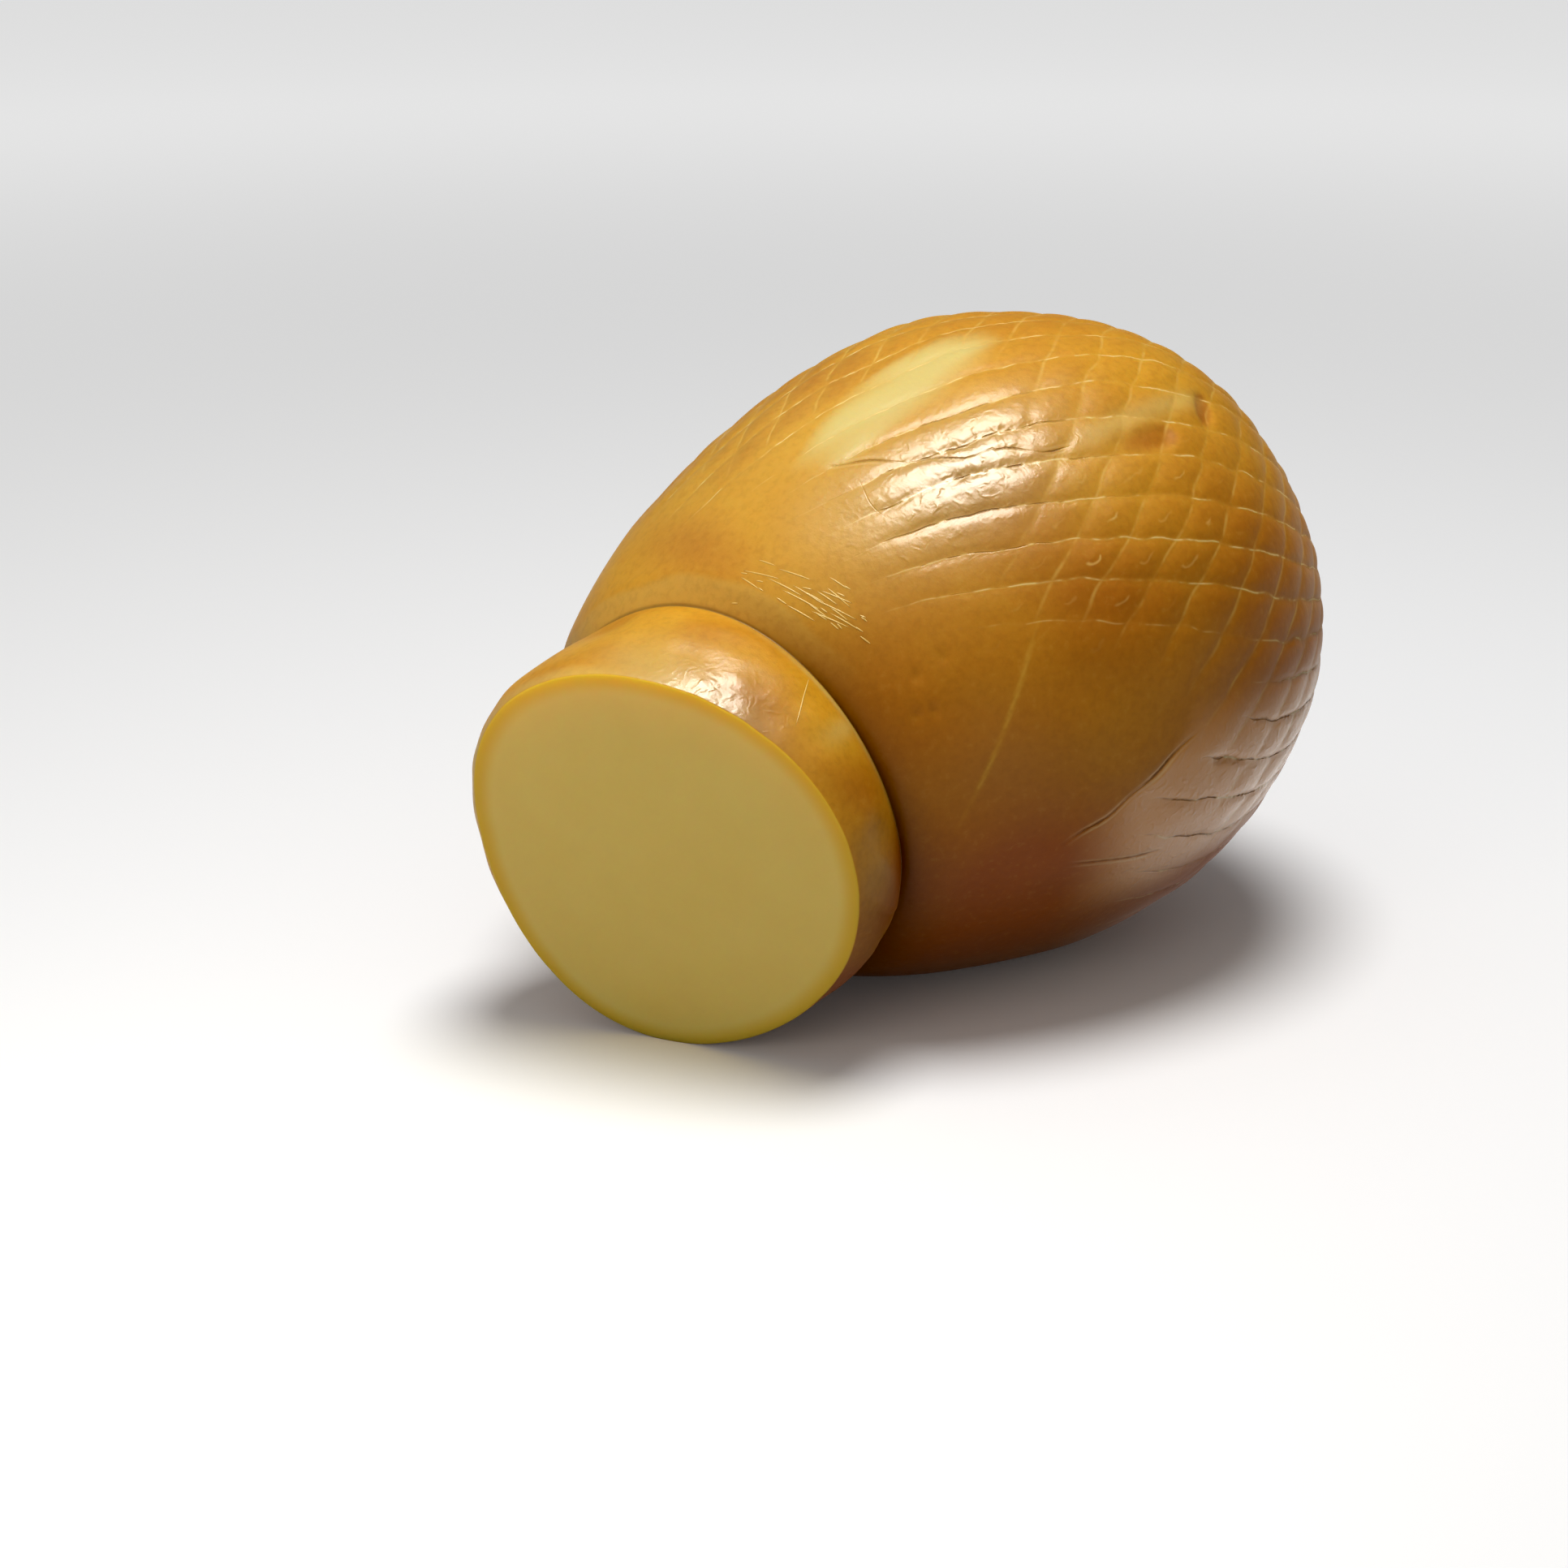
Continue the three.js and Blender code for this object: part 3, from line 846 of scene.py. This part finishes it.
# Half widths of the net's lines and of their dashes, as shares of a mesh
STRAND_LINE = 0.06
STRAND_DASH = 0.028

# Half widths of a fold's painted shade line and of its painted highlight on the lip, and how far off the lip
# is, in millimetres
FOLD_LINE = 0.3
LIP_LINE = 0.4
LIP_OFF = 0.65

# A painted glint crescent's radius each way fits into a mesh this many times, and its line is this share of
# the radius
CRESCENT_ALONG = MESH_WIDTH / 1.0
CRESCENT_ACROSS = MESH_WIDTH / 0.75
CRESCENT_LINE = 0.55

# Patterns of the paste in millimetres: drift of colour, the knife's grain, and the tint under the rind
DRIFT_SIZE = 14
KNIFE_GRAIN = 1.2
KNIFE_RELIEF = 0.15
TINT_DEPTH = 3.6


def per_metre(size):
    """Scale of a pattern whose blotches are this many millimetres wide."""
    return 1 / (size * METRES)


def smoked_rind():
    """Smoked rind, dried in the smoke and rubbed with oil: amber with browner clouds and a satin shine.

    The eye sees deep gold where light falls, pale lines where the net kept the smoke off, straw yellow where
    the cheese leaned on its neighbour, and a milky, broken shine where thin film clings in wrinkles.
    """
    material, tree = new_material("smoked_rind_oiled")
    names = ("pale", "smoke_brown_and_shade", "film", "satin", "collar", "painted_seam_shade", "blistered", "fold_across", "fold_plain")
    names += ("level_strands", "steep_strands")
    mark = {name: add(tree, "Attribute", {"attribute_name": name}, "Fac") for name in names}
    place = add(tree, "TexCoord", output="Object")
    strands = add(tree, "UVMap", {"uv_map": "strands"})
    clouds = add(tree, "TexNoise", Vector=place, Scale=per_metre(CLOUD_SIZE), Detail=4.0, Roughness=0.58)
    mottle = add(tree, "TexNoise", Vector=place, Scale=per_metre(MOTTLE_SIZE), Detail=5.0, Roughness=0.58)
    breaks = add(tree, "TexNoise", Vector=place, Scale=per_metre(BREAK_SIZE), Detail=2.0, Roughness=0.58)

    # Smoke colour: gold in clouds, browner marks with painted shade, a duller collar, straw where the smoke
    # did not reach and a painted highlight along the head's rear edge, and a painted sheen over the satin
    colour = add(tree, "Mix", BLEND, 2, in_0=clouds, in_6=linear("#E5B43F"), in_7=linear("#D69D22"))
    dull = add(tree, "Math", TIMES, in_0=mark["collar"], in_1=0.65)
    specks = add(tree, "MapRange", SMOOTH, Value=mottle, From_Min=0.44, From_Max=0.68, To_Max=0.13)
    smoked = add(tree, "Math", LESS, in_0=1.0, in_1=mark["pale"])
    smoke_specks = add(tree, "Math", TIMES, in_0=specks, in_1=smoked)
    flecks = add(tree, "MapRange", SMOOTH, Value=mottle, From_Min=0.44, From_Max=0.3, To_Max=0.1)
    haze = add(tree, "Math", TIMES, in_0=mark["film"], in_1=0.38)
    painted_sheen = add(tree, "Math", TIMES, in_0=mark["satin"], in_1=0.85)

    # The net's strands left soft pale lines; thin brighter dashes along them are painted glints
    level_count = add(tree, "SeparateXYZ", Vector=strands)
    steep_count = add(tree, "SeparateXYZ", output=1, Vector=strands)
    level_off = add(tree, "Math", {"operation": "PINGPONG"}, in_0=level_count, in_1=0.5)
    steep_off = add(tree, "Math", {"operation": "PINGPONG"}, in_0=steep_count, in_1=0.5)
    on_level = add(tree, "MapRange", SMOOTH, Value=level_off, From_Max=STRAND_LINE, **FALL)
    on_steep = add(tree, "MapRange", SMOOTH, Value=steep_off, From_Max=STRAND_LINE, **FALL)
    level_soft = add(tree, "Math", TIMES, in_0=on_level, in_1=mark["level_strands"])
    steep_soft = add(tree, "Math", TIMES, in_0=on_steep, in_1=mark["steep_strands"])
    either = add(tree, "Math", LARGER, in_0=level_soft, in_1=steep_soft)
    uneven = add(
        tree, "MapRange", SMOOTH, Value=breaks, From_Min=0.36, From_Max=0.66, To_Min=0.07, To_Max=0.56,
    )
    lines = add(tree, "Math", TIMES, in_0=either, in_1=uneven)
    gaps = add(tree, "MapRange", SMOOTH, Value=breaks, From_Min=0.46, From_Max=0.6, To_Max=0.8)
    on_dash = add(tree, "MapRange", SMOOTH, Value=level_off, From_Max=STRAND_DASH, **FALL)
    thin = add(tree, "Math", TIMES, in_0=on_dash, in_1=mark["level_strands"])
    painted_glint_dashes = add(tree, "Math", TIMES, in_0=thin, in_1=gaps)

    # A painted glint: a pale crescent in the middle of each mesh, over its blister
    level_part = add(tree, "Math", {"operation": "FRACT"}, in_0=level_count)
    steep_part = add(tree, "Math", {"operation": "FRACT"}, in_0=steep_count)
    down_start = -BLISTER_DOWN * CRESCENT_ALONG
    over_start = -BLISTER_OVER * CRESCENT_ACROSS
    down = add(tree, "Math", TIMES_PLUS, in_0=level_part, in_1=CRESCENT_ALONG, in_2=down_start)
    over = add(tree, "Math", TIMES_PLUS, in_0=steep_part, in_1=CRESCENT_ACROSS, in_2=over_start)
    down_square = add(tree, "Math", TIMES, in_0=down, in_1=down)
    square = add(tree, "Math", TIMES_PLUS, in_0=over, in_1=over, in_2=down_square)
    outwards = add(tree, "Math", {"operation": "SQRT"}, in_0=square)
    curl = add(tree, "MapRange", SMOOTH, Value=breaks, From_Min=0.35, From_Max=0.65, To_Min=0.55, To_Max=1.6)
    off_rim = add(tree, "Math", LESS, in_0=outwards, in_1=curl)
    beside_rim = add(tree, "Math", SIZE_OF, in_0=off_rim)
    rim = add(tree, "MapRange", SMOOTH, Value=beside_rim, From_Max=CRESCENT_LINE, **FALL)
    lean = add(tree, "Math", LESS, in_0=down, in_1=over)
    half = add(tree, "MapRange", SMOOTH, Value=lean, From_Min=0.1, From_Max=1.2, To_Max=0.7)
    half_rim = add(tree, "Math", TIMES, in_0=rim, in_1=half)
    painted_glint_crescent = add(tree, "Math", TIMES, in_0=half_rim, in_1=mark["blistered"])

    # Under film each strand and fold is a thin crease drawn with a painted shade line, and painted shade
    # darkens the seam at the head
    kept = add(tree, "MapRange", SMOOTH, Value=breaks, From_Min=0.56, From_Max=0.4)
    kept_thin = add(tree, "Math", TIMES, in_0=thin, in_1=kept)
    glossy = add(tree, "Math", LARGER, in_0=mark["film"], in_1=mark["satin"])
    pressed = add(tree, "Math", TIMES, in_0=kept_thin, in_1=glossy)
    off_fold = add(tree, "Math", SIZE_OF, in_0=mark["fold_across"])
    on_fold = add(tree, "MapRange", SMOOTH, Value=off_fold, From_Max=FOLD_LINE, **FALL)
    folded = add(tree, "Math", TIMES, in_0=on_fold, in_1=mark["fold_plain"])
    crease = add(tree, "Math", LARGER, in_0=pressed, in_1=folded)
    painted_fold_shade = add(tree, "Math", TIMES, in_0=crease, in_1=0.55)
    # Painted highlight: a pale line along each fold's lip
    off_lip = add(tree, "Math", LESS, in_0=off_fold, in_1=LIP_OFF)
    beside = add(tree, "Math", SIZE_OF, in_0=off_lip)
    on_lip = add(tree, "MapRange", SMOOTH, Value=beside, From_Max=LIP_LINE, **FALL)
    lip = add(tree, "Math", TIMES, in_0=on_lip, in_1=mark["fold_plain"])
    painted_lip_highlight = add(tree, "Math", TIMES, in_0=lip, in_1=0.65)
    painted_seam_shade_share = add(tree, "Math", TIMES, in_0=mark["painted_seam_shade"], in_1=0.8)

    # Each layer of colour covers the ones before it by its share
    layers = (
        (mark["smoke_brown_and_shade"], "#AE5F0A"),
        (dull, "#DAB25C"),
        (mark["pale"], "#DECA82"),
        (smoke_specks, "#8A4E0C"),
        (flecks, "#E8BE62"),
        (haze, "#A0937A"),
        (painted_sheen, "#E09E46"),
        (lines, "#E6C068"),
        (painted_glint_dashes, "#F2DA9C"),
        (painted_glint_crescent, "#F0CC7C"),
        (painted_fold_shade, "#7E4A10"),
        (painted_lip_highlight, "#E8C88E"),
        (painted_seam_shade_share, "#5C3206"),
    )
    for share, code in layers:
        colour = add(tree, "Mix", BLEND, 2, in_0=share, in_6=colour, in_7=linear(code))

    # Wrinkled film breaks the shine into glints, and fine grain dulls it elsewhere
    crinkle = add(
        tree, "TexNoise", RIDGES,
        Vector=place, Scale=per_metre(WRINKLE_SIZE), Detail=3.0, Roughness=0.6, Distortion=0.8,
    )
    wrinkles = add(tree, "Math", TIMES, in_0=crinkle, in_1=glossy)
    grain = add(tree, "Math", TIMES, in_0=mottle, in_1=0.25)
    grained = add(tree, "Math", TIMES_PLUS, in_0=wrinkles, in_1=0.6, in_2=grain)
    relief = add(tree, "Math", TIMES_PLUS, in_0=crease, in_1=-0.9, in_2=grained)
    bump = add(tree, "Bump", Height=relief, Strength=0.9, Distance=WRINKLE_RELIEF * METRES)
    roughness = add(tree, "Math", TIMES_PLUS, in_0=clouds, in_1=0.15, in_2=0.38)
    coat = add(tree, "Math", TIMES_PLUS, in_0=glossy, in_1=0.92, in_2=0.08)
    skin = add(
        tree, "BsdfPrincipled", {"subsurface_method": "RANDOM_WALK"},
        Base_Color=colour, Roughness=roughness, Normal=bump, IOR=1.46,
        Subsurface_Weight=0.25, Subsurface_Radius=(1.0, 0.42, 0.12), Subsurface_Scale=3 * METRES,
        Coat_Weight=coat, Coat_Roughness=0.25, Coat_IOR=1.58, Coat_Normal=bump,
    )
    add(tree, "OutputMaterial", Surface=skin)
    return material


def scuffed_rind():
    """Scuffed rind: thin torn flakes of skin that stand up a little, paler than the rind and glinting."""
    material, tree = new_material("smoked_rind_scuffed")
    flake = add(
        tree, "BsdfPrincipled",
        Base_Color=linear("#EBCB7C"), Roughness=0.3, IOR=1.46, Coat_Weight=0.5, Coat_Roughness=0.15,
    )
    add(tree, "OutputMaterial", Surface=flake)
    return material


def cut_paste():
    """Stretched-curd paste cut by a knife: smooth, matt, cream yellow, deeper yellow just under the rind."""
    material, tree = new_material("stretched_curd_paste_cut")
    place = add(tree, "TexCoord", output="Object")
    from_rim = add(tree, "Attribute", {"attribute_name": "from_rim"}, "Fac")
    under_rind = add(tree, "MapRange", SMOOTH, Value=from_rim, From_Max=TINT_DEPTH, **FALL)
    tint = add(tree, "Math", TIMES, in_0=under_rind, in_1=0.75)
    drift = add(tree, "TexNoise", Vector=place, Scale=per_metre(DRIFT_SIZE), Detail=2.0, Roughness=0.58)
    cream = add(tree, "Mix", BLEND, 2, in_0=drift, in_6=linear("#F0DA86"), in_7=linear("#ECD27C"))
    colour = add(tree, "Mix", BLEND, 2, in_0=tint, in_6=cream, in_7=linear("#E6B824"))
    grain = add(tree, "TexNoise", Vector=place, Scale=per_metre(KNIFE_GRAIN), Detail=3.0, Roughness=0.58)
    bump = add(tree, "Bump", Height=grain, Strength=0.12, Distance=KNIFE_RELIEF * METRES)
    paste = add(
        tree, "BsdfPrincipled", {"subsurface_method": "RANDOM_WALK"},
        Base_Color=colour, Roughness=0.5, Normal=bump, IOR=1.44,
        Subsurface_Weight=0.8, Subsurface_Radius=(1.0, 0.7, 0.3), Subsurface_Scale=9 * METRES,
    )
    add(tree, "OutputMaterial", Surface=paste)
    return material


def new_object(name, mesh, *materials):
    """An object at the origin with these materials."""
    for material in materials:
        mesh.materials.append(material)
    made = bpy.data.objects.new(name, mesh)
    bpy.context.scene.collection.objects.link(made)
    return made


cheese = new_object("scamorza_skin", skin_mesh("scamorza_skin"), smoked_rind(), cut_paste())
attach(cheese, "root")
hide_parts("scamorza")

scuffs = new_object("shoulder_scuffs", scuff_mesh("shoulder_scuffs"), scuffed_rind())
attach(scuffs, "root")


# The floor's radius in metres
FLOOR_RADIUS = 12


def studio_floor():
    """A wide pale disc: matt, glowing a little far away, and sparing with the light that it throws back.

    To the right of the cheese it glows in reflections only, as a white table does beyond the shadow.
    """
    turns = np.linspace(0, 2 * math.pi, 97)[:-1]
    rim = np.stack([np.cos(turns), np.sin(turns), 0 * turns], axis=1) * FLOOR_RADIUS
    mesh = bpy.data.meshes.new("studio_floor")
    mesh.from_pydata(rim.tolist(), [], [list(range(len(rim)))])
    material, tree = new_material("matt_white_board")
    place = add(tree, "TexCoord", output="Object")
    away = add(tree, "VectorMath", {"operation": "LENGTH"}, "Value", in_0=place)
    bounced = add(tree, "LightPath", output="Is Diffuse Ray")
    seen = add(tree, "Math", LESS, in_0=1.0, in_1=bounced)
    far = add(
        tree, "MapRange", SMOOTH, Value=away, From_Min=0.15, From_Max=1.4, To_Min=0.04, To_Max=0.5,
    )
    far_seen = add(tree, "Math", TIMES, in_0=far, in_1=seen)
    mirrored = add(tree, "LightPath", output="Is Glossy Ray")
    close = add(tree, "MapRange", SMOOTH, Value=away, From_Min=0.2, From_Max=0.09, To_Max=0.3)
    rightwards = add(tree, "SeparateXYZ", Vector=place)
    right = add(tree, "MapRange", SMOOTH, Value=rightwards, From_Min=0.015, From_Max=0.05)
    close_right = add(tree, "Math", TIMES, in_0=close, in_1=right)
    board = add(
        tree, "BsdfPrincipled",
        Base_Color=add(tree, "Mix", BLEND, 2, in_0=bounced, in_6=linear("#F4F4F4"), in_7=linear("#848484")),
        Roughness=0.8, Emission_Color=linear("#FFFFFF"),
        Emission_Strength=add(tree, "Math", TIMES_PLUS, in_0=close_right, in_1=mirrored, in_2=far_seen),
    )
    add(tree, "OutputMaterial", Surface=board)
    return new_object("studio_floor", mesh, material)


studio_floor()


def soft_light(name, place, aim, size, power, colour, shine):
    """A round soft light at a place, aimed at another. Without shine it leaves no highlight."""
    lamp = bpy.data.lights.new(name, "AREA")
    lamp.shape = "DISK"
    lamp.size = size * METRES
    lamp.energy = power
    lamp.color = linear(colour)[:3]
    made = bpy.data.objects.new(name, lamp)
    made.location = Vector(place) * METRES
    made.rotation_euler = (Vector(aim) - Vector(place)).to_track_quat("-Z", "Y").to_euler()
    made.visible_camera = False
    made.visible_glossy = shine
    bpy.context.scene.collection.objects.link(made)


# Lights: a place, an aim and a size in millimetres, then watts
soft_light("overhead_softbox", (0, -55, 898), (0, 0, 60), 420, 6.1, "#FFFFFF", True)
soft_light("left_fill", (-290, -120, 110), (-70, -30, 50), 160, 0.225, "#FFF7EA", False)

# The room is brightest towards this side
ROOM_SIDE = (-0.4, -0.05, 0.9)


def studio_world():
    """Soft room light: brighter towards one side above, and a pale backdrop where the room is seen."""
    world = bpy.data.worlds.new("studio_room")
    world.use_nodes = True
    tree = world.node_tree
    tree.nodes.clear()
    direction = add(tree, "TexCoord", output="Generated")
    side = unit(np.array(ROOM_SIDE))
    towards = add(tree, "VectorMath", {"operation": "DOT_PRODUCT"}, "Value", in_0=direction, in_1=side)
    strength = add(
        tree, "MapRange", SMOOTH, Value=towards, From_Min=-0.4, From_Max=0.9, To_Min=0.15, To_Max=0.32,
    )
    seen = add(tree, "LightPath", output="Is Camera Ray")
    shown = add(tree, "Math", TIMES_PLUS, in_0=seen, in_1=0.5, in_2=strength)
    room = add(tree, "Background", Color=linear("#FFFFFF"), Strength=shown)
    add(tree, "OutputWorld", Surface=room)
    bpy.context.scene.world = world


studio_world()

# Camera: where the photo was taken from, 30 degrees wide, level
CAMERA_PLACE = (-313.3, -414.2, 221.5)
CAMERA_AZIMUTH = -34.79
CAMERA_ELEVATION = 20.02
CAMERA_WIDTH = 30.0


def photo_camera():
    """A camera at the photo's place, looking level round the object and down by its elevation."""
    level = math.cos(math.radians(CAMERA_ELEVATION))
    back = Vector((
        level * math.sin(math.radians(CAMERA_AZIMUTH)),
        -level * math.cos(math.radians(CAMERA_AZIMUTH)),
        math.sin(math.radians(CAMERA_ELEVATION)),
    ))
    lens = bpy.data.cameras.new("photo_camera")
    lens.angle = math.radians(CAMERA_WIDTH)
    lens.clip_start = 0.01
    made = bpy.data.objects.new("photo_camera", lens)
    made.location = Vector(CAMERA_PLACE) * METRES
    made.rotation_euler = (-back).to_track_quat("-Z", "Y").to_euler()
    bpy.context.scene.collection.objects.link(made)
    bpy.context.scene.camera = made


photo_camera()

# Plain tones with deepened middle tones and shadows, as in the photo
view = bpy.context.scene.view_settings
view.view_transform = "Standard"
view.gamma = 0.82
view.use_curve_mapping = True
view.curve_mapping.black_level = (0.011, 0.011, 0.011)
view.curve_mapping.update()
